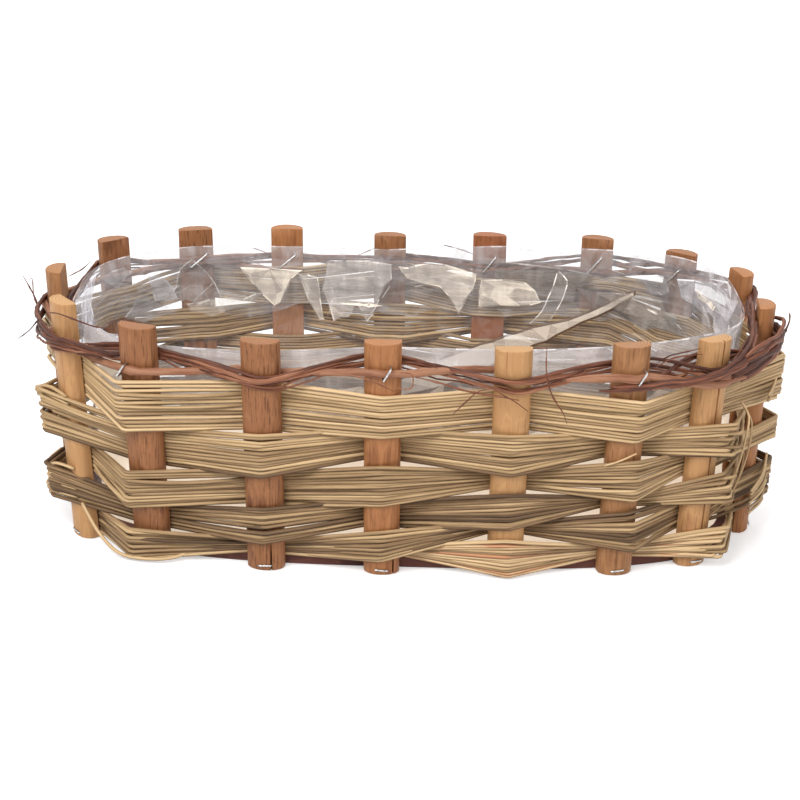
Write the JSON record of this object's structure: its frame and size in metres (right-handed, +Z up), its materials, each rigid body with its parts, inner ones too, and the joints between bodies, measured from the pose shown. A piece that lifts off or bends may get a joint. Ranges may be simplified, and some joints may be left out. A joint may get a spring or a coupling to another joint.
{
  "type": "oval planter basket",
  "caption": "Oval planter basket of split wood stakes on a stained board, woven round with bands of straw and bound with vines at the rim, with a clear film liner.",
  "frame": {"origin": "middle of the base board's underside, between the feet of the stakes", "axes": "+X along the basket's length, to the right in the picture; +Y from front to back; +Z up"},
  "size_m": [0.4146, 0.2133, 0.136],
  "materials": {
    "stained_board": "dark red-brown stain, rough sawn",
    "split_wood": "split and peeled wood with lengthwise grain and drying cracks, clear coat",
    "straw": "dry rush straw, khaki to tan",
    "tan_vine": "smooth tan bark with nodes",
    "red_vine": "dark red-brown bark with nodes",
    "clear_film": "thin clear polyethylene film, creased",
    "staple_wire": "galvanised flat staple wire"
  },
  "bodies": {
    "root": {"base_board": "stained_board", "stake_01": "split_wood", "stake_02": "split_wood", "stake_03": "split_wood", "stake_04": "split_wood", "stake_05": "split_wood", "stake_06": "split_wood", "stake_07": "split_wood", "stake_08": "split_wood", "stake_09": "split_wood", "stake_10": "split_wood", "stake_11": "split_wood", "stake_12": "split_wood", "stake_13": "split_wood", "stake_14": "split_wood", "stake_15": "split_wood", "stake_16": "split_wood", "stake_17": "split_wood", "straw_band_1": "straw", "straw_band_2": "straw", "straw_band_3": "straw", "straw_band_4": "straw", "straw_band_5": "straw", "rim_vine_thick": "tan_vine", "rim_vine_upper": "red_vine", "rim_vine_red": "red_vine", "rim_vine_brown": "red_vine", "rim_vine_lower": "red_vine", "side_shoot_left": "red_vine", "side_shoot_end": "red_vine", "side_shoot_right": "red_vine", "film_liner": "clear_film", "base_staple_01": "staple_wire", "base_staple_02": "staple_wire", "base_staple_03": "staple_wire", "base_staple_04": "staple_wire", "base_staple_05": "staple_wire", "base_staple_06": "staple_wire", "base_staple_07": "staple_wire", "base_staple_08": "staple_wire", "base_staple_09": "staple_wire", "base_staple_10": "staple_wire", "base_staple_11": "staple_wire", "base_staple_12": "staple_wire", "base_staple_13": "staple_wire", "base_staple_14": "staple_wire", "base_staple_15": "staple_wire", "base_staple_16": "staple_wire", "base_staple_17": "staple_wire", "vine_staple_02": "staple_wire", "vine_staple_04": "staple_wire", "vine_staple_06": "staple_wire", "liner_staple_03": "staple_wire", "liner_staple_05": "staple_wire", "liner_staple_07": "staple_wire", "liner_staple_10": "staple_wire", "liner_staple_11": "staple_wire", "liner_staple_12": "staple_wire", "liner_staple_14": "staple_wire", "liner_staple_15": "staple_wire"}
  },
  "joints": []
}
